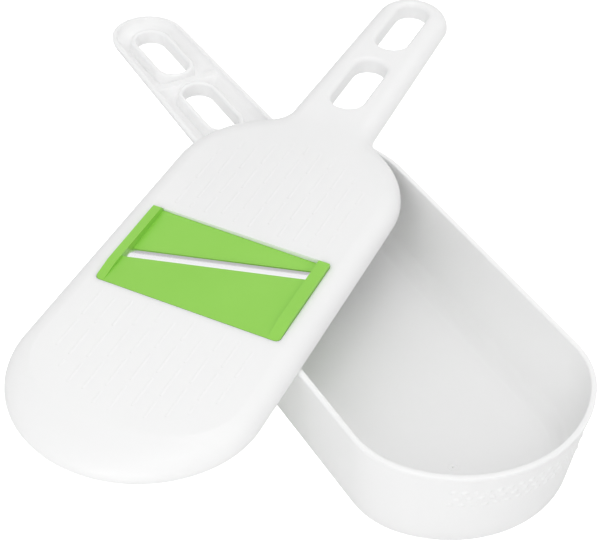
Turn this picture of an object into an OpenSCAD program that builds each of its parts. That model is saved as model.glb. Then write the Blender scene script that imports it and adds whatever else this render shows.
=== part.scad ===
// Mandoline slicer laid across its catch container, in millimetres.
// The slicer and the container are two thin-walled mouldings of one family: each has a straight-sided body with
// round ends and a long handle with two hanging slots. A blade cassette drops into the slicer's plate.
// Origin: middle of the container's base. +Y runs towards the container's handle, +Z is up.

/* [Container] */
// Width of the tub across its rim
tub_width = 100; // [90:1:120]
// Length of the tub along its rim, without the handle
tub_length = 210; // [190:1:240]
// Height of the tub
tub_height = 38.5; // [30:0.5:50]
// How far the near end's curve reaches beyond the straight sides
tub_nose = 42; // [40:1:46]
// Corner radius of the near end
tub_corner = 35; // [32:1:37]
// How much each side leans in from rim to base
tub_draft = 4; // [2:0.1:6]
// Thickness of the tub's wall
tub_wall = 2; // [1.6:0.1:2.4]
// Thickness of the tub's floor
tub_floor = 2.4; // [1.8:0.1:3]
// How far the rim's lip stands out from the wall
lip_out = 0.3; // [0.2:0.1:1]
// Height of the rim's lip
lip_height = 2.5; // [2:0.5:5]
// Radius outside, between the wall and the base
base_round = 1.2; // [1:0.1:3]
// Radius inside, between the wall and the floor
floor_round = 6; // [3:0.5:8]

/* [Container handle] */
// Width of the container's handle near its tip
grip_width = 34; // [32:1:36]
// Distance from the tub's far end to the handle's tip
grip_reach = 104; // [100:1:115]
// Depth of the handle below the rim
grip_depth = 8; // [7:0.5:9]
// Width of the round under the handle's sides
grip_roll = 9; // [8:0.5:9.5]
// Width of the handle's raised edge
grip_edge = 2.2; // [1.8:0.1:2.6]
// Width of each hanging slot
hang_width = 14; // [12:0.5:14.5]
// Length of each hanging slot, end to end
hang_length = 36; // [30:1:38]
// Distance between the centres of the two slots
hang_pitch = 47; // [44:1:50]
// Distance from the outer slot's end to the handle's tip
hang_margin = 12; // [11:0.5:13]
// Wall around each hanging slot
hang_wall = 2.2; // [1.8:0.1:2.4]

/* [Slicer] */
// Width of the slicer's plate
plate_width = 96; // [90:1:98]
// Length of the plate's straight sides
plate_side = 121; // [115:0.5:128]
// How far the nose's curve reaches beyond the straight sides
plate_nose = 46; // [45:0.5:47]
// Corner radius of the nose
plate_corner = 43; // [41:1:44]
// Depth of the rolled skirt around the plate
skirt = 8; // [7:0.5:9]
// Thickness of the plate's wall
plate_wall = 2.2; // [1.8:0.1:2.6]
// Width of the roll-over along the plate's sides
side_roll = 8; // [6:0.5:9]
// Width of the roll-over at the tip of the nose
nose_roll = 18; // [14:1:20]
// How much wider the roll-over is at the plate's handle end
far_roll = 5; // [2:0.5:8]
// Turn of the slicer about the vertical, from the container's long axis
cross_angle = -55.2; // [-70:0.1:-40]
// Place of the nose's curve centre beside the container's long axis
cross_x = -103.4; // [-110:0.1:-95]
// Place of the nose's curve centre along the container's long axis
cross_y = -7; // [-15:0.1:5]
// Gap between the skirt and the rim that it rests on
rest_gap = 0.3; // [0.2:0.05:0.4]

/* [Slicer handle] */
// Width of the slicer's handle near its tip
haft_width = 34; // [32:1:36]
// Distance from the nose's curve centre to the handle's tip
haft_tip = 279.5; // [275:0.5:285]
// Width of the roll-over along the handle
haft_roll = 7; // [5:0.5:7]
// Width of each slot
loop_width = 15; // [13:0.5:15.5]
// Length of each slot, end to end
loop_length = 40; // [36:1:42]
// Distance between the centres of the two slots
loop_pitch = 51; // [48:1:54]
// Distance from the outer slot's end to the handle's tip
loop_margin = 9.5; // [9:0.5:11]

/* [Cassette] */
// Width of the cassette across the plate
cassette_width = 76; // [74:1:77]
// Length of the cassette along the plate
cassette_length = 47.5; // [44:0.5:50]
// Distance from the nose's curve centre to the middle of the cassette
cassette_v = 58.8; // [55:0.1:65]
// Thickness of the cassette below the plate's top
cassette_thick = 4; // [3.8:0.1:4.4]
// Corner radius of the cassette
cassette_round = 2; // [1.5:0.5:4]
// Width of the left side rail, seen from the nose
rail_left = 3.5; // [3:0.1:5]
// Width of the right side rail
rail_right = 4.7; // [3:0.1:5]
// Height of the rails above the plate
rail_rise = 1.6; // [1:0.1:2]
// Length of the slope at each rail's nose end
rail_slope = 10; // [6:1:12]
// Clearance between the cassette and the plate
cassette_gap = 0.3; // [0.2:0.05:0.4]
// Drop of the entry table at the blade, which is the slice's thickness
slice = 2; // [1:0.1:2.4]

/* [Blade] */
// Angle of the blade across the plate
blade_angle = 16.5; // [10:0.5:20]
// Width of the blade from its edge to its back
blade_width = 12; // [10:0.5:13]
// Thickness of the blade
blade_thick = 0.8; // [0.5:0.1:1]
// Width of the ground bevel
bevel = 2.7; // [1.5:0.1:3]
// Width of the blade that shows on the exit table's side
blade_show = 5.2; // [4:0.1:6]
// Tilt of the blade, edge up
blade_tilt = 7; // [5:0.5:8]
// How far the blade reaches into each rail
blade_grip = 2; // [1:0.5:2.5]
// Place of the blade's edge ahead of the cassette's middle, halfway between the rails
blade_offset = 7; // [6:0.1:9]
// Width of the throat in front of the edge
throat = 2; // [1.5:0.1:2.5]

/* [Hidden] */
$fn = 64;
eps = 0.01;
far_steps = 12;                // flats on each side of a far end's round
root_steps = 6;                // flats on the round where a handle meets its body
tip_steps = 20;                // flats on a handle's round tip
corner_steps = 8;              // flats on each corner of a near end
front_steps = 12;              // flats on the front of a near end
wall_steps = 5;                // rings down each rounded edge
grip_taper = 1.4;              // degrees that the handles' sides open towards the body
root_round = 12;               // radius where a handle's side meets its body
rim_round = 0.6;               // softening of the tub's rim
web_width = 6;                 // cross web between the slots of the container's handle
pocket_start = 3;              // solid stretch of the handle before its first pocket
haft_wall = 2;                 // wall around each slot of the slicer's handle
roll_corner = 24;              // corner radius of the nose's flat top
frame_wall = 1.8;              // wall around the cassette's seat, under the plate
ledge = 1.6;                   // thickness of the ledges that carry the cassette
ledge_reach = 2.8;             // how far the ledges reach under the cassette's sides
lip_drop = 0.15;               // drop of the entry table where food first meets it
jaw = 6.5;                     // distance from the edge to the moulding that holds the blade's back
rail_end = 1.6;                // length of the slope at each rail's handle end
anchor_r = 1.6;                // radius of the blade's holes, which the moulding flows through
anchor_pitch = 26;             // distance between the blade's holes

// ---- outlines: lists of arcs [centre, radius, first angle, last angle, steps, drop its last point] ----
function arc_points(s) = [for (i = [0 : s[5] ? s[4] - 1 : s[4]])
    let (a = s[2] + (s[3] - s[2]) * i / s[4]) s[0] + s[1] * [cos(a), sin(a)]];
function outline(arcs) = [for (s = arcs) each arc_points(s)];
function moved(arcs, y) = [for (s = arcs) [s[0] + [0, y], s[1], s[2], s[3], s[4], s[5]]];

// A near end of three arcs, centred on y = 0: two corners and a flatter front between them.
function nose_arcs(half, depth, corner) = let (
    side = half - corner,
    lead = (side * side - pow(depth - corner, 2)) / (2 * (depth - corner)),
    turn = atan2(lead, side)) [
    [[-side, 0], corner, 180, 180 + turn, corner_steps, true],
    [[0, lead], depth + lead, 180 + turn, 360 - turn, front_steps, true],
    [[side, 0], corner, 360 - turn, 360, corner_steps, false]];

// Centre of the round that joins a handle of half-width h, with its tip's centre at tip, to a far end of radius r.
function root_centre(h, tip, r, end_y, round) = let (
    across = [cos(grip_taper), sin(grip_taper)],
    along = [-sin(grip_taper), cos(grip_taper)],
    end = [0, end_y],
    p = h + tip * sin(grip_taper) + round,
    q = end * along + sqrt(pow(r + round, 2) - pow(p - end * across, 2)))
    p * across + q * along;
function root_angle(root, end_y) = atan2(root.y - end_y, root.x);

function handle_arcs(h, tip, r, end_y, round) = let (
    root = root_centre(h, tip, r, end_y, round),
    a = root_angle(root, end_y)) [
    [root, round, 180 + a, 180 + grip_taper, root_steps, false],
    [[0, tip], h, grip_taper, 180 - grip_taper, tip_steps, false],
    [[-root.x, root.y], round, -grip_taper, -a, root_steps, false]];

// ---- solid between two matching outlines: at level [t, z] it is t of the way from a to b ----
// Its ends are strips between the outline's mirrored points, from point 0 up to the tip and down to the nose.
function mirror_index(a) = [for (i = [1 : len(a) - 1]) if (norm(a[i] - [-a[0].x, a[0].y]) < eps / 10) i][0];
function end_strips(n, far) = concat(
    [for (k = [0 : 1 : floor(far / 2) - 1])
        k + 1 == far - k - 1 ? [k, k + 1, far - k] : [k, k + 1, far - k - 1, far - k]],
    [for (k = [0 : 1 : floor((n - far) / 2) - 1]) let (right = (n - k) % n)
        n - k - 1 == far + k + 1 ? [far + k, far + k + 1, right] : [far + k, far + k + 1, n - k - 1, right]]);

module loft(a, b, levels) {
    n = len(a);
    last = len(levels) - 1;
    points = [for (l = levels) for (i = [0 : n - 1]) let (p = a[i] + (b[i] - a[i]) * l[0]) [p.x, p.y, l[1]]];
    sides = [for (k = [0 : last - 1]) for (i = [0 : n - 1]) let (j = (i + 1) % n)
        [k * n + i, (k + 1) * n + i, (k + 1) * n + j, k * n + j]];
    base = end_strips(n, mirror_index(a));
    top = [for (f = base) [for (i = [len(f) - 1 : -1 : 0]) last * n + f[i]]];
    polyhedron(points, concat(sides, base, top));
}
function sweep_angles(a0, a1) = [for (i = [0 : wall_steps]) a0 + (a1 - a0) * i / wall_steps];

module stadium(length, width, height) {
    reach = (length - width) / 2;
    for (y = [-reach, reach]) translate([0, y, 0]) cylinder(d = width, h = height);
    translate([-width / 2, -reach, 0]) cube([width, 2 * reach, height]);
}

module rounded_block(width, length, height, r) {
    for (x = [r - width / 2, width / 2 - r]) for (y = [r - length / 2, length / 2 - r])
        translate([x, y, 0]) cylinder(r = r, h = height);
    translate([-width / 2, r - length / 2, 0]) cube([width, length - 2 * r, height]);
    translate([r - width / 2, -length / 2, 0]) cube([width - 2 * r, length, height]);
}

// ---- container ----
tub_half = tub_width / 2;
tub_mid = tub_length / 2;
tub_far = tub_mid - tub_half;                   // y of the far end's centre
function tub_outline(inset) = outline(concat(
    [[[0, tub_far], tub_half - inset, 0, 180, 2 * far_steps, false]],
    moved(nose_arcs(tub_half - inset, tub_nose - inset, tub_corner - inset), tub_nose - tub_mid)));
function lean(z) = tub_draft * (1 - z / tub_height);

// Rings whose t is an inset in millimetres, rounded by r where the wall meets a floor at height z0.
function foot_levels(z0, r, inset) = [for (a = sweep_angles(0, 90)) let (z = z0 + r * (1 - cos(a)))
    [lean(z) + inset + r * (1 - sin(a)), z]];

module tub_outer() {
    lip = tub_height - lip_height;
    loft(tub_outline(0), tub_outline(1), concat(
        foot_levels(0, base_round, lip_out),
        [[lean(lip) + lip_out, lip], [lean(lip), lip + lip_out], [0, tub_height - rim_round],
            [rim_round, tub_height]]));
}

module tub_inner() {
    side = lip_out + tub_wall;
    loft(tub_outline(0), tub_outline(1), concat(
        foot_levels(tub_floor, floor_round, side),
        [[side, tub_height - rim_round], [side - rim_round, tub_height + eps]]));
}

grip_half = grip_width / 2;
grip_tip = tub_mid + grip_reach;
hang_outer = grip_tip - hang_margin - hang_length / 2;      // y of the outer slot's centre
grip_under = tub_height - grip_depth;
function grip_outline(inset) = outline(handle_arcs(
    grip_half - inset, grip_tip - grip_half, tub_half - 1 - inset, tub_far, root_round + inset));
function dish_levels(depth, rise) = [for (a = sweep_angles(90, 0))
    [1 - cos(a), tub_height - depth * sin(a) + (a == 0 ? rise : 0)]];

module hanging_slots(grow, z0, z1) {
    for (i = [0, 1]) translate([0, hang_outer - i * hang_pitch, z0])
        stadium(hang_length + 2 * grow, hang_width + 2 * grow, z1 - z0);
}

module grip_pockets() {
    difference() {
        loft(grip_outline(grip_edge), grip_outline(grip_roll), dish_levels(grip_depth - grip_edge, eps));
        hanging_slots(hang_wall, grip_under - 1, tub_height - 1);
        translate([-grip_half, hang_outer - (hang_pitch + web_width) / 2, grip_under])
            cube([grip_width, web_width, grip_depth - 2]);
        translate([-grip_width, 0, 0]) cube([2 * grip_width, tub_mid + pocket_start, tub_height + 1]);
    }
}

module container() {
    color("white") difference() {
        tub_outer();
        tub_inner();
    }
}

// One moulding with the tub, which its faces meet.
module container_handle() {
    color("white") difference() {
        loft(grip_outline(0), grip_outline(grip_roll), dish_levels(grip_depth, 0));
        grip_pockets();
        tub_outer();
        hanging_slots(0, grip_under - 1, tub_height + 1);
    }
}

// ---- slicer: x across, y from nose to handle, z up, with z = 0 on the plate's top ----
slicer_z = tub_height + rest_gap + skirt;
module at_slicer() translate([cross_x, cross_y, slicer_z]) rotate([0, 0, cross_angle]) children();
module at_cassette() at_slicer() translate([0, cassette_v, 0]) children();

plate_half = plate_width / 2;
haft_half = haft_width / 2;
loop_outer = haft_tip - loop_margin - loop_length / 2;      // y of the outer slot's centre
function plate_outline(side, far, nose, haft, corner) = let (
    end_y = plate_side - far,
    handle = handle_arcs(haft_half - haft, haft_tip - haft_half, plate_half - side, end_y,
        root_round + (side + haft) / 2),
    a = handle[0][2] - 180) outline(concat(
    [[[0, end_y], plate_half - side, 0, a, far_steps, true]],
    [handle[0], handle[1]],
    [[handle[2][0], handle[2][1], handle[2][2], handle[2][3], root_steps, true]],
    [[[0, end_y], plate_half - side, 180 - a, 180, far_steps, false]],
    nose_arcs(plate_half - side, plate_nose - nose, corner)));
plate_flat = plate_outline(side_roll, far_roll, nose_roll, haft_roll, roll_corner);
function roll_levels(height, drop) = [for (a = sweep_angles(0, 90))
    [1 - cos(a), (height - drop) * sin(a) - height]];

module slicer_slots(grow, z0, z1) {
    for (i = [0, 1]) translate([0, loop_outer - i * loop_pitch, z0])
        stadium(loop_length + 2 * grow, loop_width + 2 * grow, z1 - z0);
}

module cassette_frame() {
    wide = cassette_width + 2 * (cassette_gap + frame_wall);
    long = cassette_length + 2 * (cassette_gap + frame_wall);
    floor_z = -cassette_thick - cassette_gap - ledge;
    translate([0, cassette_v, floor_z]) rounded_block(wide, long, -floor_z - plate_wall / 2, cassette_round);
}

module cassette_opening() {
    long = cassette_length + 2 * cassette_gap;
    seat_z = -cassette_thick - cassette_gap;
    translate([0, cassette_v, seat_z])
        rounded_block(cassette_width + 2 * cassette_gap, long, 1 - seat_z, cassette_round + cassette_gap);
    translate([0, cassette_v, seat_z - ledge - 1])
        rounded_block(cassette_width - 2 * ledge_reach, long, ledge + 2, cassette_round);
}

module slicer_plate() {
    color("whitesmoke") at_slicer() difference() {
        union() {
            difference() {
                loft(plate_outline(0, 0, 0, 0, plate_corner), plate_flat, roll_levels(skirt, 0));
                translate([0, 0, -eps])
                    loft(plate_outline(plate_wall, 0, plate_wall, plate_wall, plate_corner - plate_wall),
                        plate_flat, roll_levels(skirt, plate_wall));
            }
            slicer_slots(haft_wall, -skirt, -plate_wall / 2);
            cassette_frame();
        }
        slicer_slots(0, -skirt - 1, 1);
        cassette_opening();
    }
}

// ---- blade: x along the edge, y = 0 on the edge and negative towards its back, z = 0 on its top ----
table = (cassette_width - rail_left - rail_right) / 2;      // half-width between the rails
table_mid = (rail_left - rail_right) / 2;
blade_top = -0.1;                               // height of the edge, just under the plate's top
module at_blade() translate([table_mid, blade_offset, blade_top]) rotate([0, 0, blade_angle]) children();

// An extrusion along the blade of a section drawn as [distance from the edge, height].
module along_blade(section, reach) {
    rotate([90, 0, 90]) translate([0, 0, -reach]) linear_extrude(2 * reach) polygon(section);
}

// Its ends are cut parallel to the rails that hold them.
module blade_stock() {
    wide = table + blade_grip;
    intersection() {
        at_blade() rotate([blade_tilt, 0, 0]) difference() {
            along_blade([[0, -blade_thick], [-bevel, 0], [-blade_width, 0], [-blade_width, -blade_thick]],
                wide + blade_width);
            for (i = [-1, 0, 1])
                translate([i * anchor_pitch, -0.75 * blade_width, -blade_thick - 1]) cylinder(r = anchor_r, h = 3);
        }
        translate([table_mid - wide, -cassette_length / 2, -cassette_thick])
            cube([2 * wide, cassette_length, cassette_thick + 1]);
    }
}

module blade() {
    color("silver") at_cassette() blade_stock();
}

// ---- cassette ----
module rails() {
    low = -cassette_thick;
    end = cassette_length / 2;
    intersection() {
        translate([0, 0, low]) rounded_block(cassette_width, cassette_length, rail_rise - low, cassette_round);
        for (r = [[-cassette_width / 2, rail_left], [cassette_width / 2 - rail_right, rail_right]])
            translate([r[0], 0, 0]) rotate([90, 0, 90]) linear_extrude(r[1]) polygon([
                [-end, low], [end, low], [end, 0], [end - rail_end, rail_rise],
                [rail_slope - end, rail_rise], [-end, 0]]);
    }
}

module entry_cut() {
    far = cassette_length / 2;
    at_blade() translate([0, 0, -blade_top]) along_blade([
        [throat, -slice], [2 * far, -lip_drop], [2 * far, 3], [throat, 3]], cassette_width);
}

// Bares the blade's edge on both sides. Its back edge runs inside the blade, which is cut out by itself.
module throat_cut() {
    function core(y) = y * tan(blade_tilt) - blade_thick / 2;
    at_blade() along_blade([
        [throat + eps, 4], [throat + eps, -cassette_thick - 1], [-jaw, -cassette_thick - 1],
        [-jaw, core(-jaw)], [-blade_show, core(-blade_show)], [-blade_show, 4]], cassette_width);
}

module blade_cassette() {
    color("yellowgreen") at_cassette() difference() {
        union() {
            rails();
            difference() {
                translate([table_mid - table, -cassette_length / 2, -cassette_thick])
                    cube([2 * table, cassette_length, cassette_thick]);
                entry_cut();
                throat_cut();
            }
        }
        blade_stock();
    }
}

container();
container_handle();
slicer_plate();
blade_cassette();
blade();
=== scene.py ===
"""Looks for a mandoline slicer that lies across its catch container.

The two white mouldings are built here as smooth skins of rings and sheets, on the outlines of the CAD nodes
that they replace. The cassette and the blade are the CAD solids with eased edges. Shapes are worked out in
millimetres and scaled when a skin becomes a mesh. The stage, the lights and the camera are in metres.
"""

import math

import bmesh
import bpy
import numpy as np
from mathutils import Matrix, Vector
from mathutils.geometry import delaunay_2d_cdt


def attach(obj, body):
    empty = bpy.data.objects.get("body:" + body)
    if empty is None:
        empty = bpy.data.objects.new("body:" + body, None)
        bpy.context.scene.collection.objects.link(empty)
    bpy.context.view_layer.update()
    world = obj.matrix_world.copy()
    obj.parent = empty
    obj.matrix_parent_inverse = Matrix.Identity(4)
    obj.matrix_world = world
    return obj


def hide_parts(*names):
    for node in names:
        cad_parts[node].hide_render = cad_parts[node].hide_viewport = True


MM = 0.001

# ---- tub of the container, centred on x = 0 and y = 0, with the handle at its far end ----
TUB_HALF = 50  # half of its width at the rim
TUB_REACH = 105  # half of its length at the rim
TUB_HEIGHT = 38.5
TUB_NOSE = 42  # depth of the curved near end
TUB_CORNER = 35  # radius between the near end and the sides
TUB_FAR_Y = TUB_REACH - TUB_HALF
TUB_NOSE_Y = TUB_NOSE - TUB_REACH
TUB_DRAFT = 4  # how far the walls lean in at the base
TUB_WALL = 2
TUB_FLOOR = 2.4
LIP_OUT = 0.3
LIP_HEIGHT = 2.5
TUB_SIDE = LIP_OUT + TUB_WALL  # thickness at the lip
RIM_ROUND = 0.6
BASE_ROUND = 1.2
FLOOR_ROUND = 6
INNER_LEVELS = (14, 22, 30)  # heights of the rings on the inside, above its rounded floor

# ---- gate mark on the tub's floor: centre, and (radius, height) from the outside in ----
GATE_CENTRE = (-4.6, -67.5)
GATE_PROFILE = ((2.1, 0), (1.95, 0.16), (1.55, 0.16), (1.4, 0.02), (0.6, 0.02), (0.45, 0.5))
GATE_STEPS = 24

# ---- container's handle ----
GRIP_HALF = 17
GRIP_TIP = 209
GRIP_END_Y = GRIP_TIP - GRIP_HALF  # centre of the round tip
GRIP_DEPTH = 8
GRIP_UNDER = TUB_HEIGHT - GRIP_DEPTH
GRIP_ROLL = 9  # width of the rounded outside
GRIP_EDGE = 2.2  # width of the edge around the dish
GRIP_TAPER = 1.4  # lean of both handles' sides, in degrees
ROOT_ROUND = 12  # radius where a handle meets its body
HANG_HALF = 7
HANG_REACH = 11  # from a hanging slot's centre to the centre of its round end
HANG_CENTRES = (179, 132)
HANG_WALL = 2.2
HANG_EASE = 0.5
BOSS_DROP = 1
WEB_Y = 155.5
WEB_DROP = 2.2
WEB_FLAT = 1.6
WEB_SLOPE = 1.5
POCKET_START = TUB_REACH + 3

# ---- how the surfaces in the dish meet ----
STEEP = 6  # slope that stands in for an upright wall
RIDGE_SHARE = 0.985  # share of a boss's half width that is round
DISH_BLEND = 0.9
BOSS_BLEND = 0.95
POCKET_BLEND = 5

# ---- points that shape the top of the container's handle ----
EDGE_OFFSETS = (0.9, 1.3, 1.6, 1.85, 2.05, 2.2, 2.3, 2.45, 2.7, 3.0, 3.4, 3.9, 4.5)
SLOT_OFFSETS = (0.06, 0.15, 0.3, 0.55, 0.85, 1.1, 1.4, 1.7, 1.95, 2.1, 2.2, 2.35, 2.5, 2.65, 2.8, 3.0, 3.3)
SIDE_STEP = 0.8  # along the sides
SLOT_STEPS = 28
RING_GAP = 0.045
RING_CLEAR = (0.04, 0.7)  # least distance from the slots and from the edge
GRID_STEP = 0.5
GRID_HALF = 22
GRID_GAP = 0.29
GRID_CLEAR = (0.2, 0.9)
CELL = 0.3

# ---- raised grip dots below the rim of the tub's near end ----
DOT_PITCH = 4.2
DOT_ROWS = (30.0, 26.4, 22.8)
DOT_RADIUS = 1.35
DOT_HEIGHT = 0.5
DOT_SPAN = (237, 303)  # degrees about the centre of the near end
DOT_MARGIN = 2  # from the outer rows to the levels without dots
DOT_LEVEL = 0.3  # between rings that cross the dots

# ---- slicer, in its own frame: x across, y from the nose to the handle, z = 0 on the plate's top ----
PLATE_HALF = 48
PLATE_FAR_Y = 121
PLATE_NOSE = 46
PLATE_CORNER = 43
PLATE_WALL = 2.2
SKIRT = 8
SKIRT_EASE = 0.5
FOOT_PROFILE = ((0.06, 0.16), (0.22, 0), (0.78, 0), (0.94, 0.16))  # share of the wall, height
SIDE_ROLL = 8  # widths of the rounded outside
NOSE_ROLL = 18
FAR_ROLL = 5
HAFT_ROLL = 7
ROLL_CORNER = 24
CREST = 2.8  # extra bend at the nose, full at the near end and gone at CREST_END
CREST_END = 12
CREST_FADE = 24
CROSS_ANGLE = -55.2
CROSS_PLACE = (-103.4, -7, 46.8)

# ---- slicer's handle ----
HAFT_HALF = 17
HAFT_TIP = 279.5
LOOP_HALF = 7.5
LOOP_REACH = 12.5
LOOP_CENTRES = (250, 199)
LOOP_FILLET = 2
COLLAR = 2  # wall around each slot, under the plate
COLLAR_PROFILE = ((0, 0.35), (0.1, 0.1), (0.35, 0), (COLLAR - 0.35, 0), (COLLAR - 0.1, 0.1), (COLLAR, 0.35))

# ---- cassette seat in the plate ----
SEAT_Y = 58.8
SEAT_HALF = (38.15, 23.9)
SEAT_ROUND = 2.15
SEAT_DEPTH = 4.3
SEAT_EASE = 0.15
SEAT_BREAK = 0.3 * SEAT_EASE
LEDGE_HALF = (35.2, 23.7)
LEDGE_FOOT = SEAT_DEPTH + 1.6
FRAME_HALF = (39.7, 25.85)
FRAME_EASE = 0.2

# ---- ribs on the plate: staggered dashes along it ----
RIB_PITCH = 6.4
RIB_COLUMNS = 11
RIB_WIDTH = 1.05
RIB_HEIGHT = 0.1
RIB_PROFILE = ((0.25, 0), (0, 0), (-0.17, 0.6 * RIB_HEIGHT), (-0.32, RIB_HEIGHT))  # offset, height
DASH_LENGTH = 15
DASH_PITCH = 18
DASH_STAGGER = 0.38
DASH_LEAST = 3
FIELD_FAR = (88, 108, 38)  # where the field starts, and the centre and radius of the curve that ends it
FIELD_NEAR = (30.5, 14, 36)

# ---- cassette and blade ----
RAIL_FOOT = 47.2  # the rails' edges lie above this height
RAIL_ROUND = 1.1
CASSETTE_EASE = 0.3
BLADE_EASE = 0.06
BLADE_ANGLE = 16.5  # across the plate
SOLID_WELD = 0.000001  # in metres: points of a CAD solid this close are joined

# ---- finish of the meshes ----
SKIN_WELD = 0.0000001  # in metres
SHARP = 38  # edges sharper than this, in degrees, stay creased

# ---- steps in the arcs of an outline with a handle, and in the quarter turns of its rounds ----
STEPS = {"far": 26, "root": 14, "tip": 44, "corner": 18, "front": 44}
TUB_STEPS = dict(STEPS, front=230)
EDGE_STEPS = dict(TUB_STEPS, tip=110)
BETWEEN_ROOTS = 24
ROUND_STEPS = 6
FLOOR_STEPS = 14
FILLET_STEPS = 8
ROLL_STEPS = 20
DISH_STEPS = 22
DISH_TURN = 84  # degrees of the dish's outside that have rings
WALL_STEPS = 8


# ---- small sums ----

def quarter(steps):
    """Angles of a quarter turn, from 0 to 90 degrees."""
    return [math.radians(90 * i / steps) for i in range(steps + 1)]


def clamp(value):
    """The value kept between 0 and 1."""
    return min(max(value, 0), 1)


def smooth_max(a, b, k):
    """The larger value, blended where the two are less than k apart."""
    return max(a, b) + max(k - abs(a - b), 0) ** 2 / (4 * k)


def smooth_min(a, b, k):
    return -smooth_max(-a, -b, k)


def between(a, b, t):
    """The outline that lies at share t of the way from outline a to outline b."""
    return [(p[0] + (q[0] - p[0]) * t, p[1] + (q[1] - p[1]) * t) for p, q in zip(a, b)]


# ---- outlines, as lists of (x, y) in millimetres, counter-clockwise ----

def arc(centre, radius, start, end, steps, last=True):
    """Points from start to end, in degrees. The end point is left out where the next stretch starts on it."""
    count = steps + 1 if last else steps
    angles = [math.radians(start + (end - start) * i / steps) for i in range(count)]
    return [(centre[0] + radius * math.cos(a), centre[1] + radius * math.sin(a)) for a in angles]


def nose_shape(half, depth, corner):
    """Side offset of the corner's centre, lead of the front's centre, and the corner's turn in degrees."""
    side = half - corner
    lead = (side ** 2 - (depth - corner) ** 2) / (2 * (depth - corner))
    return side, lead, math.degrees(math.atan2(lead, side))


def nose(half, depth, corner, y, steps):
    """The near end's curve: a corner, a flatter front and a corner, from the left side to the right."""
    side, lead, turn = nose_shape(half, depth, corner)
    left = arc((-side, y), corner, 180, 180 + turn, steps["corner"], last=False)
    front = arc((0, y + lead), depth + lead, 180 + turn, 360 - turn, steps["front"], last=False)
    return left + front + arc((side, y), corner, 360 - turn, 360, steps["corner"])


def root_circle(half, tip_y, far_half, far_y, radius):
    """Centre of the round that joins a tapered handle to a far end, and its angle about the far centre."""
    t = math.radians(GRIP_TAPER)
    across = Vector((math.cos(t), math.sin(t)))
    along = Vector((-math.sin(t), math.cos(t)))
    end = Vector((0, far_y))
    p = half + tip_y * math.sin(t) + radius
    q = end @ along + math.sqrt((far_half + radius) ** 2 - (p - end @ across) ** 2)
    centre = p * across + q * along
    return centre, math.degrees(math.atan2(centre.y - far_y, centre.x))


def paddle(far_half, far_y, nose_y, depth, corner, handle, tip_y, radius, steps=STEPS):
    """Outline of a body with a handle: far round right, root, tip, root, far round left, near end."""
    root, angle = root_circle(handle, tip_y, far_half, far_y, radius)
    left_root = (-root.x, root.y)
    return (
        arc((0, far_y), far_half, 0, angle, steps["far"], last=False)
        + arc(root, radius, 180 + angle, 180 + GRIP_TAPER, steps["root"])
        + arc((0, tip_y), handle, GRIP_TAPER, 180 - GRIP_TAPER, steps["tip"])
        + arc(left_root, radius, -GRIP_TAPER, -angle, steps["root"], last=False)
        + arc((0, far_y), far_half, 180 - angle, 180, steps["far"])
        + nose(far_half, depth, corner, nose_y, steps)
    )


def stadium(half, reach, y, steps=14):
    """Outline of a slot with round ends, its straight sides split into steps."""
    right = [(half, y - reach + 2 * reach * i / steps) for i in range(1, steps)]
    left = [(-half, y + reach - 2 * reach * i / steps) for i in range(1, steps)]
    over = arc((0, y + reach), half, 0, 180, 2 * steps)
    return right + over + left + arc((0, y - reach), half, 180, 360, 2 * steps)


def rounded_box(half, radius, y, steps=8):
    points = []
    for sx, sy, start in ((1, 1, 0), (-1, 1, 90), (-1, -1, 180), (1, -1, 270)):
        centre = (sx * (half[0] - radius), y + sy * (half[1] - radius))
        points += arc(centre, radius, start, start + 90, steps)
    return points


# ---- skins: rings of points, bands between rings and flat or curved sheets inside loops ----

class Skin:
    def __init__(self):
        self.points = []
        self.faces = []

    def ring(self, outline, z):
        """Adds an outline at height z, or at z(x, y), and returns its point numbers."""
        first = len(self.points)
        for x, y in outline:
            self.points.append((x, y, z(x, y) if callable(z) else z))
        return list(range(first, len(self.points)))

    def band(self, lower, upper):
        """Quads between two counter-clockwise rings. They face outwards if the first ring is the lower one."""
        count = len(lower)
        for i in range(count):
            j = (i + 1) % count
            self.faces.append((lower[i], lower[j], upper[j], upper[i]))

    def stack(self, rings, inward=False):
        """Bands through the rings in turn, with their faces turned over where inward is set."""
        for lower, upper in zip(rings, rings[1:]):
            if inward:
                self.band(upper, lower)
            else:
                self.band(lower, upper)

    def sheet(self, loops, extra=(), height=None, down=False):
        """Triangles between a loop and the holes in it. Extra points shape the sheet by height(x, y)."""
        numbers = [i for loop in loops for i in loop]
        flat = [Vector(self.points[i][:2]) for i in numbers]
        edges = []
        start = 0
        for loop in loops:
            count = len(loop)
            edges += [(start + i, start + (i + 1) % count) for i in range(count)]
            start += count
        flat += [Vector(p) for p in extra]
        numbers += self.ring(extra, height) if len(extra) else []
        found, _, faces, origins, _, _ = delaunay_2d_cdt(flat, edges, [], 0, 1e-6)
        if any(not o for o in origins):
            raise ValueError("a sheet's loops cross each other")
        walls = np.array([[flat[a][:], flat[b][:]] for a, b in edges])
        middles = np.array([sum((found[i] for i in f), Vector((0, 0))) / len(f) for f in faces])
        for face, inside in zip(faces, even_odd(middles, walls)):
            if inside:
                corner = [numbers[origins[i][0]] for i in face]
                self.faces.append(tuple(reversed(corner)) if down else tuple(corner))

    def mesh(self, name, place=Matrix.Identity(4)):
        """The skin as mesh data in metres, with equal points joined and loose ones removed."""
        data = bpy.data.meshes.new(name)
        data.from_pydata([place @ (Vector(p) * MM) for p in self.points], [], self.faces)
        work = bmesh.new()
        work.from_mesh(data)
        bmesh.ops.remove_doubles(work, verts=work.verts, dist=SKIN_WELD)
        bmesh.ops.dissolve_degenerate(work, edges=work.edges, dist=SKIN_WELD)
        loose = [v for v in work.verts if not v.link_faces]
        bmesh.ops.delete(work, geom=loose, context="VERTS")
        work.to_mesh(data)
        work.free()
        return data


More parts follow.
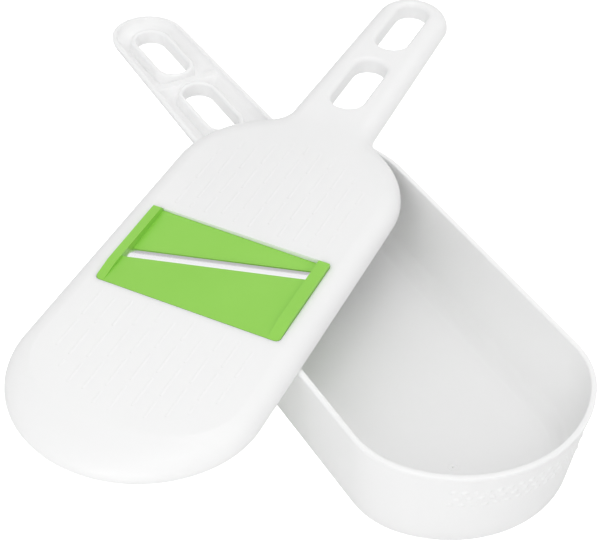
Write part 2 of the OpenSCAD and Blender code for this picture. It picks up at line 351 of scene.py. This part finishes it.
def even_odd(points, walls):
    """Which points lie inside loops given as walls, an array of their edges."""
    ax, ay = walls[:, 0, 0], walls[:, 0, 1]
    bx, by = walls[:, 1, 0], walls[:, 1, 1]
    inside = []
    for x, y in points:
        spans = (ay > y) != (by > y)
        crossing = ax[spans] + (y - ay[spans]) * (bx[spans] - ax[spans]) / (by[spans] - ay[spans])
        inside.append(np.count_nonzero(crossing > x) % 2 == 1)
    return inside


def piece(name, data, material, body, nodes):
    """A finished object that rides on a body and replaces CAD nodes."""
    thing = bpy.data.objects.new(name, data)
    bpy.context.scene.collection.objects.link(thing)
    data.materials.clear()
    data.materials.append(material)
    data.polygons.foreach_set("use_smooth", [True] * len(data.polygons))
    data.set_sharp_from_angle(angle=math.radians(SHARP))
    normals = thing.modifiers.new("Normals", "WEIGHTED_NORMAL")
    normals.keep_sharp = True
    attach(thing, body)
    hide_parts(*nodes)
    return thing


# ---- container ----

def lean(z):
    """How far the tub's walls lean in at height z."""
    return TUB_DRAFT * (1 - z / TUB_HEIGHT)


def wall_inset(z):
    """How far the tub's outer wall lies inside its rim at height z, below the rounded rim."""
    lip = TUB_HEIGHT - LIP_HEIGHT
    return lean(z) * clamp(lip + 1 - z) + LIP_OUT * clamp((lip + LIP_OUT - z) / LIP_OUT)


def dish_inset(z):
    """How far the handle's rounded outside lies inside its edge at height z."""
    fall = min(1, (TUB_HEIGHT - z) / GRIP_DEPTH)
    return GRIP_ROLL * (1 - math.sqrt(1 - fall ** 2))


def container_outline(wall, dish):
    """Outline with the tub's wall and the handle's rounded side set in by these."""
    return paddle(
        TUB_HALF - wall, TUB_FAR_Y, TUB_NOSE_Y, TUB_NOSE - wall, TUB_CORNER - wall,
        GRIP_HALF - dish, GRIP_END_Y, ROOT_ROUND + (wall + dish) / 2, TUB_STEPS,
    )


def wall_outline(inset, angle):
    """The tub without its handle. Its far round is split at the angles where the handle's roots meet it."""
    half = TUB_HALF - inset
    return (
        arc((0, TUB_FAR_Y), half, 0, angle, TUB_STEPS["far"], last=False)
        + arc((0, TUB_FAR_Y), half, angle, 180 - angle, BETWEEN_ROOTS, last=False)
        + arc((0, TUB_FAR_Y), half, 180 - angle, 180, TUB_STEPS["far"])
        + nose(half, TUB_NOSE - inset, TUB_CORNER - inset, TUB_NOSE_Y, TUB_STEPS)
    )


def tub_outline(inset):
    """The tub alone, as its inside has it."""
    near = nose(TUB_HALF - inset, TUB_NOSE - inset, TUB_CORNER - inset, TUB_NOSE_Y, STEPS)
    return arc((0, TUB_FAR_Y), TUB_HALF - inset, 0, 180, 2 * STEPS["far"]) + near


def slot_distance(x, y):
    """How far a point of the handle lies outside its slots."""
    return min(math.hypot(x, max(abs(y - c) - HANG_REACH, 0)) for c in HANG_CENTRES) - HANG_HALF


def edge_depth(x, y):
    """How far a point lies inside the handle's edge."""
    t = math.radians(GRIP_TAPER)
    up = y - GRIP_END_Y
    side = math.hypot(x, up) if up > abs(x) * math.tan(t) else abs(x) * math.cos(t) + up * math.sin(t)
    return GRIP_HALF - side


def dish(x, y):
    """Height of the dish: a pocket with rounded sides inside the handle's edge and past the tub's rim."""
    d = smooth_min(edge_depth(x, y), y - POCKET_START + GRIP_EDGE, POCKET_BLEND)
    if d <= GRIP_EDGE:
        wall = TUB_HEIGHT + STEEP * (GRIP_EDGE - d)
    else:
        fall = max(GRIP_ROLL - d, 0) / (GRIP_ROLL - GRIP_EDGE)
        wall = TUB_HEIGHT - (GRIP_DEPTH - GRIP_EDGE) * math.sqrt(1 - fall ** 2)
    return smooth_min(TUB_HEIGHT, wall, DISH_BLEND)


def boss(x, y):
    """Height of the raised wall around each slot, with a round ridge."""
    ridge = HANG_WALL / 2
    away = abs(slot_distance(x, y) - ridge)
    bend = min(away, RIDGE_SHARE * ridge)
    return TUB_HEIGHT - BOSS_DROP - ridge + math.sqrt(ridge ** 2 - bend ** 2) - STEEP * (away - bend)


def web(y):
    """Height of the cross web between the slots."""
    return TUB_HEIGHT - WEB_DROP - WEB_SLOPE * max(abs(y - WEB_Y) - WEB_FLAT, 0)


def top_height(x, y):
    """Height of the container's rim and of the dish, bosses and web in its handle."""
    if y < TUB_REACH:
        return TUB_HEIGHT
    inner = smooth_max(boss(x, y), web(y), DISH_BLEND)
    return smooth_max(dish(x, y), inner, BOSS_BLEND)


class Sieve:
    """Points that lie some distance apart. A grid of cells finds a new point's neighbours."""

    def __init__(self):
        self.kept = []
        self.cells = {}

    def add(self, x, y, gap):
        """Keeps a point unless a kept one is nearer than the gap."""
        column = math.floor(x / CELL)
        row = math.floor(y / CELL)
        for i in (-1, 0, 1):
            for j in (-1, 0, 1):
                for px, py in self.cells.get((column + i, row + j), ()):
                    if math.hypot(px - x, py - y) < gap:
                        return
        self.cells.setdefault((column, row), []).append((x, y))
        self.kept.append((x, y))


def handle_points():
    """Points that shape the handle's top: dense rings by its steep walls and a fine grid elsewhere."""
    rings = []
    slope = math.tan(math.radians(GRIP_TAPER))
    for d in EDGE_OFFSETS:
        side = GRIP_HALF - d
        rings += paddle(TUB_HALF - 1, TUB_FAR_Y, TUB_NOSE_Y, TUB_NOSE - 1, TUB_CORNER - 1,
                        side, GRIP_END_Y, ROOT_ROUND + d, EDGE_STEPS)
        for s in (-1, 1):
            rings += [(s * (side + (GRIP_END_Y - y) * slope), y)
                      for y in np.arange(POCKET_START + 1, GRIP_END_Y, SIDE_STEP)]
    for centre in HANG_CENTRES:
        for d in SLOT_OFFSETS:
            rings += stadium(HANG_HALF + d, HANG_REACH, centre, SLOT_STEPS)

    def clear(x, y, limits):
        return slot_distance(x, y) > limits[0] and edge_depth(x, y) > limits[1]

    sieve = Sieve()
    for x, y in rings:
        if y > TUB_REACH and clear(x, y, RING_CLEAR):
            sieve.add(x, y, RING_GAP)
    for y in np.arange(TUB_REACH, GRIP_TIP, GRID_STEP):
        for x in np.arange(-GRID_HALF, GRID_HALF, GRID_STEP):
            if clear(x, y, GRID_CLEAR):
                sieve.add(float(x), float(y), GRID_GAP)
    return sieve.kept


def dot_rise(angle, radius, z):
    """Height of the grip dots at an angle and a radius about the centre of the near end."""
    if not DOT_SPAN[0] < angle < DOT_SPAN[1]:
        return 0
    along = math.radians(angle - 270) * radius
    rise = 0
    for row, height in enumerate(DOT_ROWS):
        shift = 0.5 * (row % 2)
        off = ((along / DOT_PITCH - shift + 0.5) % 1 - 0.5) * DOT_PITCH
        away = math.hypot(off, z - height) / DOT_RADIUS
        if away < 1:
            rise = max(rise, DOT_HEIGHT * (1 - away ** 2) ** 1.5)
    return rise


def dotted(outline, z):
    """The outline at height z with the grip dots standing out of its near end."""
    if not DOT_ROWS[-1] - DOT_MARGIN < z < DOT_ROWS[0] + DOT_MARGIN:
        return outline
    _, lead, _ = nose_shape(TUB_HALF, TUB_NOSE, TUB_CORNER)
    centre_y = TUB_NOSE_Y + lead
    moved = []
    for x, y in outline:
        radius = math.hypot(x, y - centre_y)
        angle = math.degrees(math.atan2(y - centre_y, x)) % 360
        grow = 1 + dot_rise(angle, radius, z) / radius if y <= TUB_NOSE_Y else 1
        moved.append((x * grow, centre_y + (y - centre_y) * grow))
    return moved


def container_outside(skin):
    """Rings from the handle's flat underside up to the rim, around the tub and its handle."""
    lip = TUB_HEIGHT - LIP_HEIGHT
    turns = [math.radians(90 - DISH_TURN * i / DISH_STEPS) for i in range(DISH_STEPS + 1)]
    levels = {TUB_HEIGHT - GRIP_DEPTH * math.sin(a) for a in turns} | {lip, lip + LIP_OUT}
    brow = TUB_HEIGHT - RIM_ROUND
    rings = []
    for z in sorted(level for level in levels if level < brow):
        rings.append(skin.ring(dotted(container_outline(wall_inset(z), dish_inset(z)), z), z))
    for a in quarter(ROUND_STEPS):
        ease = RIM_ROUND * (1 - math.cos(a))
        rest = dish_inset(brow) * (1 - math.sin(a))
        rings.append(skin.ring(container_outline(ease, ease + rest), brow + RIM_ROUND * math.sin(a)))
    skin.stack(rings)
    return rings


def lower_wall(skin):
    """The tub's outside from its base up to the handle's underside. Returns its last ring."""
    inset = wall_inset(GRIP_UNDER)
    _, angle = root_circle(GRIP_HALF - GRIP_ROLL, GRIP_END_Y, TUB_HALF - inset, TUB_FAR_Y,
                           ROOT_ROUND + (inset + GRIP_ROLL) / 2)
    rings = []
    for a in quarter(ROUND_STEPS):
        z = BASE_ROUND * (1 - math.cos(a))
        edge = lean(z) + LIP_OUT + BASE_ROUND * (1 - math.sin(a))
        rings.append(skin.ring(wall_outline(edge, angle), z))
    plain = DOT_ROWS[-1] - DOT_MARGIN
    levels = [BASE_ROUND + (plain - BASE_ROUND) * i / WALL_STEPS for i in range(1, WALL_STEPS + 1)]
    levels += list(np.arange(plain + DOT_LEVEL, GRIP_UNDER, DOT_LEVEL))
    for z in levels + [GRIP_UNDER]:
        rings.append(skin.ring(dotted(wall_outline(wall_inset(z), angle), z), z))
    skin.stack(rings)
    skin.faces.append(tuple(reversed(rings[0])))
    return rings[-1]


def handle_underside(skin, upper, wall):
    """The flat between the handle's arcs in the upper ring and the wall's arc. Returns the slots' feet."""
    far = TUB_STEPS["far"]
    rest = (far + 1) + (2 * TUB_STEPS["corner"] + 1 + TUB_STEPS["front"])
    handle = upper[far:len(upper) - rest + 1]
    back = wall[far:far + BETWEEN_ROOTS + 1][::-1]
    feet = [skin.ring(stadium(HANG_HALF + HANG_EASE, HANG_REACH, c), GRIP_UNDER) for c in HANG_CENTRES]
    skin.sheet([handle + back[1:-1]] + feet, down=True)
    return feet


def hanging_slot(skin, foot, centre):
    """A slot's wall from its eased foot up to the handle's top. Returns its last ring."""
    rings = [foot]
    for a in quarter(ROUND_STEPS)[1:]:
        outline = stadium(HANG_HALF + HANG_EASE * (1 - math.sin(a)), HANG_REACH, centre)
        rings.append(skin.ring(outline, GRIP_UNDER + HANG_EASE * (1 - math.cos(a))))
    rings.append(skin.ring(stadium(HANG_HALF, HANG_REACH, centre), top_height))
    skin.stack(rings, inward=True)
    return rings[-1]


def tub_inside(skin):
    """The tub's inside from its floor, with the gate mark, up to the rim. Returns its last ring."""
    rings = []
    for a in quarter(FLOOR_STEPS):
        z = TUB_FLOOR + FLOOR_ROUND * (1 - math.cos(a))
        rings.append(skin.ring(tub_outline(lean(z) + TUB_SIDE + FLOOR_ROUND * (1 - math.sin(a))), z))
    for z in INNER_LEVELS:
        rings.append(skin.ring(tub_outline(lean(z) + TUB_SIDE), z))
    for a in quarter(ROUND_STEPS):
        z = TUB_HEIGHT - RIM_ROUND * (1 - math.sin(a))
        rings.append(skin.ring(tub_outline(TUB_SIDE - RIM_ROUND * (1 - math.cos(a))), z))
    skin.stack(rings, inward=True)
    gate = []
    for radius, height in GATE_PROFILE:
        gate.append(skin.ring(arc(GATE_CENTRE, radius, 0, 360, GATE_STEPS, last=False), TUB_FLOOR + height))
    skin.sheet([rings[0], gate[0]])
    skin.stack(gate)
    skin.faces.append(tuple(gate[-1]))
    return rings[-1]


def container_skin():
    """The tub and its handle as one moulding."""
    skin = Skin()
    outside = container_outside(skin)
    feet = handle_underside(skin, outside[0], lower_wall(skin))
    slots = [hanging_slot(skin, foot, centre) for foot, centre in zip(feet, HANG_CENTRES)]
    inside = tub_inside(skin)
    skin.sheet([outside[-1], inside] + slots, handle_points(), top_height)
    return skin


# ---- slicer ----

def plate_outline(side, far, nose_end, handle, corner):
    """Outline of the slicer, set in at its sides, far round, nose end and handle by these."""
    return paddle(
        PLATE_HALF - side, PLATE_FAR_Y - far, 0, PLATE_NOSE - nose_end, corner,
        HAFT_HALF - handle, HAFT_TIP - HAFT_HALF, ROOT_ROUND + (side + handle) / 2,
    )


def plate_shells(skin):
    """The outer and inner shells, joined by the skirt's eased foot. Returns the rings around their flats."""
    rolled = plate_outline(SIDE_ROLL, FAR_ROLL, NOSE_ROLL, HAFT_ROLL, ROLL_CORNER)
    outer = plate_outline(0, 0, 0, 0, PLATE_CORNER)
    inner = plate_outline(PLATE_WALL, 0, PLATE_WALL, PLATE_WALL, PLATE_CORNER - PLATE_WALL)

    def shell(outline, height, crest):
        """Rings from the skirt's foot to the flat. The crest bends the nose down from where the flat ends."""
        rings = []
        for a in quarter(ROLL_STEPS):
            level = height * math.sin(a) + (SKIRT_EASE - SKIRT)
            dip = crest * math.cos(a) * (1 - math.cos(a)) ** 2
            rings.append(skin.ring(between(outline, rolled, 1 - math.cos(a)),
                                   lambda x, y: level - dip * clamp((CREST_END - y) / CREST_FADE)))
        return rings

    outside = shell(outer, SKIRT - SKIRT_EASE, CREST)
    inside = shell(inner, SKIRT - PLATE_WALL - SKIRT_EASE, 0)
    foot = [skin.ring(between(outer, inner, share), z - SKIRT) for share, z in FOOT_PROFILE]
    skin.stack([foot[1], foot[0]] + outside)
    skin.stack(foot[1:] + inside, inward=True)
    return outside[-1], inside[-1]


def haft_slot(skin, centre):
    """A slot's rounded mouth and its collar under the plate. Returns its rings on the plate's two sides."""
    rings = []
    for a in quarter(FILLET_STEPS):
        outline = stadium(LOOP_HALF + LOOP_FILLET * (1 - math.sin(a)), LOOP_REACH, centre)
        rings.append(skin.ring(outline, -LOOP_FILLET * (1 - math.cos(a))))
    for grow, z in COLLAR_PROFILE + ((COLLAR, SKIRT - PLATE_WALL),):
        rings.append(skin.ring(stadium(LOOP_HALF + grow, LOOP_REACH, centre), z - SKIRT))
    skin.stack(rings)
    return rings[0], rings[-1]


def cassette_seat(skin):
    """The seat's eased mouth, wall and ledges, and the frame around it. Returns its first and last ring."""
    profile = (
        (SEAT_HALF, SEAT_EASE, 0),
        (SEAT_HALF, SEAT_BREAK, -SEAT_BREAK),
        (SEAT_HALF, 0, -SEAT_EASE),
        (SEAT_HALF, 0, -SEAT_DEPTH),
        (LEDGE_HALF, 0, -SEAT_DEPTH),
        (LEDGE_HALF, 0, -LEDGE_FOOT),
        (FRAME_HALF, -FRAME_EASE, -LEDGE_FOOT),
        (FRAME_HALF, 0, FRAME_EASE - LEDGE_FOOT),
        (FRAME_HALF, 0, -PLATE_WALL),
    )
    rings = []
    for half, grow, z in profile:
        rings.append(skin.ring(rounded_box((half[0] + grow, half[1] + grow), SEAT_ROUND + grow, SEAT_Y), z))
    skin.stack(rings)
    return rings[0], rings[-1]


def rib_dashes():
    """(x, first y, last y) of each dash, in two fields cut off by the curves of the plate's ends."""
    dashes = []
    far_start, far_centre, far_radius = FIELD_FAR
    near_start, near_centre, near_radius = FIELD_NEAR
    for column in range(RIB_COLUMNS):
        x = (column - (RIB_COLUMNS - 1) / 2) * RIB_PITCH
        shift = DASH_PITCH * (column * DASH_STAGGER % 1)
        limits = (
            (far_start, far_centre + math.sqrt(far_radius ** 2 - x ** 2)),
            (near_centre - math.sqrt(near_radius ** 2 - x ** 2), near_start),
        )
        for low, high in limits:
            y = low - DASH_PITCH + shift
            while y < high:
                first = max(y, low)
                last = min(y + DASH_LENGTH, high)
                if last - first > DASH_LEAST:
                    dashes.append((x, first, last))
                y += DASH_PITCH
    return dashes


def rib(skin, x, first, last):
    """A low ridge with a narrow flat border. Returns the border's outer ring."""
    reach = (last - first) / 2 - RIB_WIDTH / 2
    rings = []
    for grow, z in RIB_PROFILE:
        outline = stadium(RIB_WIDTH / 2 + grow, reach, (first + last) / 2, 5)
        rings.append(skin.ring([(px + x, py) for px, py in outline], z))
    skin.stack(rings)
    skin.faces.append(tuple(rings[-1]))
    return rings[0]


def slicer_skin():
    """The plate and its handle as one moulding, with the seat for the cassette."""
    skin = Skin()
    top, under = plate_shells(skin)
    mouths, collars = zip(*[haft_slot(skin, centre) for centre in LOOP_CENTRES])
    seat, frame_top = cassette_seat(skin)
    ribs = [rib(skin, *dash) for dash in rib_dashes()]
    skin.sheet([top, seat, *mouths, *ribs])
    skin.sheet([under, frame_top, *collars], down=True)
    return skin


# ---- cassette and blade: the CAD solids with flat faces joined and edges eased ----

def round_edges(work, edges, width, segments):
    bmesh.ops.bevel(work, geom=edges, offset=width, offset_type="OFFSET", segments=segments, profile=0.5,
                    affect="EDGES", clamp_overlap=True)


def sharp_edges(work, degrees):
    """Edges between two faces that meet at more than this angle."""
    return [e for e in work.edges if e.calc_face_angle(0) > math.radians(degrees)]


def eased(node, name, ease, segments, rail_round=0):
    """A node's mesh with eased edges. Where rail_round is set, those above RAIL_FOOT are rounder."""
    data = bpy.data.meshes.new(name)
    work = bmesh.new()
    work.from_mesh(node.data)
    bmesh.ops.remove_doubles(work, verts=work.verts, dist=SOLID_WELD)
    bmesh.ops.dissolve_limit(work, angle_limit=math.radians(1), verts=work.verts, edges=work.edges)
    if rail_round:
        rails = [e for e in sharp_edges(work, 60) if min(v.co.z for v in e.verts) > RAIL_FOOT * MM]
        round_edges(work, rails, rail_round * MM, 6)
    round_edges(work, sharp_edges(work, 25), ease * MM, segments)
    work.to_mesh(data)
    work.free()
    return data


# ---- materials ----

class Graph:
    """A material's node tree with short calls for the nodes used here."""

    def __init__(self, name):
        self.material = bpy.data.materials.new(name)
        self.material.use_nodes = True
        self.tree = self.material.node_tree
        self.shader = self.tree.nodes["Principled BSDF"]
        self.place = self.tree.nodes.new("ShaderNodeTexCoord").outputs["Object"]

    def link(self, out, socket):
        self.tree.links.new(out, socket)

    def mapped(self, turn, scale):
        node = self.tree.nodes.new("ShaderNodeMapping")
        node.inputs["Rotation"].default_value = (0, 0, turn)
        node.inputs["Scale"].default_value = scale
        self.link(self.place, node.inputs["Vector"])
        return node.outputs["Vector"]

    def noise(self, vector, scale, detail):
        node = self.tree.nodes.new("ShaderNodeTexNoise")
        node.inputs["Scale"].default_value = scale
        node.inputs["Detail"].default_value = detail
        self.link(vector, node.inputs["Vector"])
        return node.outputs["Fac"]

    def spread(self, value, low, high):
        """The middle half of a noise's range, stretched from low to high."""
        node = self.tree.nodes.new("ShaderNodeMapRange")
        sockets = {"From Min": 0.25, "From Max": 0.75, "To Min": low, "To Max": high}
        for socket, limit in sockets.items():
            node.inputs[socket].default_value = limit
        self.link(value, node.inputs["Value"])
        return node.outputs["Result"]

    def blend(self, value, first, second):
        node = self.tree.nodes.new("ShaderNodeMix")
        node.data_type = "RGBA"
        node.inputs["A"].default_value = (*first, 1)
        node.inputs["B"].default_value = (*second, 1)
        self.link(value, node.inputs["Factor"])
        return node.outputs["Result"]

    def bump(self, height, distance, strength, under=None):
        node = self.tree.nodes.new("ShaderNodeBump")
        node.inputs["Distance"].default_value = distance
        node.inputs["Strength"].default_value = strength
        self.link(height, node.inputs["Height"])
        if under is not None:
            self.link(under, node.inputs["Normal"])
        return node.outputs["Normal"]


def plastic(name, colour, deep, roughness, grain, glow):
    """Moulded plastic: slow drift in tone, fine satin grain, and faint flow waves."""
    graph = Graph(name)
    shader = graph.shader
    drift = graph.noise(graph.place, scale=28, detail=3)
    graph.link(graph.blend(graph.spread(drift, 0, 1), colour, deep), shader.inputs["Base Color"])
    fine = graph.noise(graph.place, scale=2600, detail=2)
    worn = graph.noise(graph.place, scale=160, detail=4)
    graph.link(graph.spread(worn, roughness - 0.04, roughness + 0.05), shader.inputs["Roughness"])
    flow = graph.noise(graph.place, scale=45, detail=1)
    waves = graph.bump(flow, distance=0.0006, strength=0.06)
    graph.link(graph.bump(fine, distance=grain, strength=0.5, under=waves), shader.inputs["Normal"])
    shader.inputs["IOR"].default_value = 1.49
    shader.inputs["Subsurface Weight"].default_value = glow
    shader.inputs["Subsurface Radius"].default_value = (1.0, 1.0, 1.0)
    shader.inputs["Subsurface Scale"].default_value = 0.003
    return graph.material


def ground_steel(name, colour, bright, turn):
    """Stainless steel ground along the blade: stretched scratches in tone, roughness and relief."""
    graph = Graph(name)
    shader = graph.shader
    along = graph.mapped(turn, scale=(1, 45, 45))
    scratch = graph.noise(along, scale=160, detail=4)
    graph.link(graph.blend(graph.spread(scratch, 0, 1), colour, bright), shader.inputs["Base Color"])
    graph.link(graph.spread(scratch, 0.17, 0.27), shader.inputs["Roughness"])
    graph.link(graph.bump(scratch, distance=0.000002, strength=0.3), shader.inputs["Normal"])
    shader.inputs["Metallic"].default_value = 1
    return graph.material


# ---- stage, light and camera ----

FLOOR_REACH = 4
FLOOR_TONE = 0.8
FLOOR_GLOW = 0.08  # for all rays but the camera's, which see it white
SKY_TONES = (0.58, 0.61)  # low and high in the sky, for all rays but the camera's
SKY_RISE = (0.3, 0.9)
LIGHT_TARGET = (0, 0.05, 0.02)
LIGHTS = {
    "overhead": {"place": (0.15, -0.15, 1.4), "size": (0.7, 0.7), "power": 2.9},
    "back": {"place": (0.4, 0.7, 1.15), "size": (0.8, 0.6), "power": 0.8},
    "front_left": {"place": (-0.95, -0.85, 0.8), "size": (1.0, 1.0), "power": 6.5},
    "right_fill": {"place": (1.05, 0.05, 0.7), "size": (0.8, 0.8), "power": 1.6},
}
EYE = (-0.2706, -0.3665, 0.4463)
HEADING = math.radians(-32.87)
PITCH = math.radians(41.64)
ROLL = math.radians(3.43)
LENS = 95.31


def camera():
    """Looks down at the crossed pieces from the near left, a little rolled."""
    data = bpy.data.cameras.new("camera")
    data.sensor_width = 36
    data.lens = LENS
    data.clip_start = 0.01
    view = bpy.data.objects.new("camera", data)
    level = Vector((math.cos(HEADING), math.sin(HEADING), 0))
    ahead = Vector((-math.sin(HEADING), math.cos(HEADING), 0))
    forward = ahead * math.cos(PITCH) - Vector((0, 0, math.sin(PITCH)))
    above = level.cross(forward)
    right = level * math.cos(ROLL) + above * math.sin(ROLL)
    up = above * math.cos(ROLL) - level * math.sin(ROLL)
    turn = Matrix((right, up, -forward)).transposed().to_4x4()
    view.matrix_world = Matrix.Translation(EYE) @ turn
    bpy.context.scene.collection.objects.link(view)
    bpy.context.scene.camera = view


def sky():
    """A nearly even white sky, which the camera sees as plain white."""
    world = bpy.data.worlds.new("studio")
    world.use_nodes = True
    tree = world.node_tree
    backdrop = tree.nodes["Background"]
    backdrop.inputs["Strength"].default_value = 1
    place = tree.nodes.new("ShaderNodeTexCoord")
    parts = tree.nodes.new("ShaderNodeSeparateXYZ")
    tree.links.new(place.outputs["Generated"], parts.inputs["Vector"])
    rise = tree.nodes.new("ShaderNodeMapRange")
    rise.interpolation_type = "SMOOTHSTEP"
    for socket, value in zip(("From Min", "From Max", "To Min", "To Max"), SKY_RISE + SKY_TONES):
        rise.inputs[socket].default_value = value
    tree.links.new(parts.outputs["Z"], rise.inputs["Value"])
    seen = tree.nodes.new("ShaderNodeMix")
    seen.data_type = "RGBA"
    seen.inputs["B"].default_value = (1, 1, 1, 1)
    tree.links.new(rise.outputs["Result"], seen.inputs["A"])
    tree.links.new(tree.nodes.new("ShaderNodeLightPath").outputs["Is Camera Ray"], seen.inputs["Factor"])
    tree.links.new(seen.outputs["Result"], backdrop.inputs["Color"])
    bpy.context.scene.world = world


def softbox(name, place, size, power):
    """A rectangular lamp that points at the middle of the object."""
    light = bpy.data.lights.new(name, "AREA")
    light.shape = "RECTANGLE"
    light.size, light.size_y = size
    light.energy = power
    thing = bpy.data.objects.new(name, light)
    thing.location = place
    thing.rotation_euler = (Vector(LIGHT_TARGET) - thing.location).to_track_quat("-Z", "Y").to_euler()
    bpy.context.scene.collection.objects.link(thing)


def plain_colours():
    """Shows colours as they are rendered, without a film look."""
    view = bpy.context.scene.view_settings
    view.view_transform = "Standard"
    view.look = "None"
    view.exposure = 0
    view.gamma = 1


def stage_floor():
    """A pale floor that the camera sees as plain white."""
    data = bpy.data.meshes.new("stage_floor")
    corners = [(x * FLOOR_REACH, y * FLOOR_REACH, 0) for x, y in ((-1, -1), (1, -1), (1, 1), (-1, 1))]
    data.from_pydata(corners, [], [(0, 1, 2, 3)])
    floor = bpy.data.objects.new("stage_floor", data)
    bpy.context.scene.collection.objects.link(floor)
    graph = Graph("stage_floor")
    graph.shader.inputs["Base Color"].default_value = (FLOOR_TONE, FLOOR_TONE, FLOOR_TONE, 1)
    graph.shader.inputs["Roughness"].default_value = 0.9
    graph.shader.inputs["Specular IOR Level"].default_value = 0.1
    graph.shader.inputs["Emission Color"].default_value = (1, 1, 1, 1)
    glow = graph.tree.nodes.new("ShaderNodeMapRange")
    glow.inputs["To Min"].default_value = FLOOR_GLOW
    graph.link(graph.tree.nodes.new("ShaderNodeLightPath").outputs["Is Camera Ray"], glow.inputs["Value"])
    graph.link(glow.outputs["Result"], graph.shader.inputs["Emission Strength"])
    data.materials.append(graph.material)


# ---- the scene ----

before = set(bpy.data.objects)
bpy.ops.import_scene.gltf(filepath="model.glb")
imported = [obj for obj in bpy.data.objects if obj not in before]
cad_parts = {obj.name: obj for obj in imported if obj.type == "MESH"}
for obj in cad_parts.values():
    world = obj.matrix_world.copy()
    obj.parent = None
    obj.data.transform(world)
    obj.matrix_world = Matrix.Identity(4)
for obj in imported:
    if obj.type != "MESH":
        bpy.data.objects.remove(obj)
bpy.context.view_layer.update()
camera()
sky()
for name, box in LIGHTS.items():
    softbox(name, **box)
plain_colours()
stage_floor()

white = plastic("white_plastic", colour=(0.955, 0.955, 0.955), deep=(0.945, 0.945, 0.945),
                roughness=0.42, grain=0.00002, glow=0.6)
green = plastic("green_plastic", colour=(0.31, 0.69, 0.09), deep=(0.285, 0.66, 0.075),
                roughness=0.36, grain=0.000015, glow=0.12)
steel = ground_steel("steel", colour=(0.8, 0.795, 0.81), bright=(0.87, 0.865, 0.88),
                     turn=math.radians(-CROSS_ANGLE - BLADE_ANGLE))

container = container_skin().mesh("container_moulding")
piece("container_moulding", container, white, "container", ["container", "container_handle"])

across = Matrix.Translation(Vector(CROSS_PLACE) * MM) @ Matrix.Rotation(math.radians(CROSS_ANGLE), 4, "Z")
slicer = slicer_skin().mesh("slicer_moulding", across)
piece("slicer_moulding", slicer, white, "slicer", ["slicer_plate"])

cassette = eased(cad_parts["blade_cassette"], "cassette_moulding", CASSETTE_EASE, 3, RAIL_ROUND)
piece("cassette_moulding", cassette, green, "cassette", ["blade_cassette"])

blade = eased(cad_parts["blade"], "steel_blade", BLADE_EASE, 2)
piece("steel_blade", blade, steel, "cassette", ["blade"])
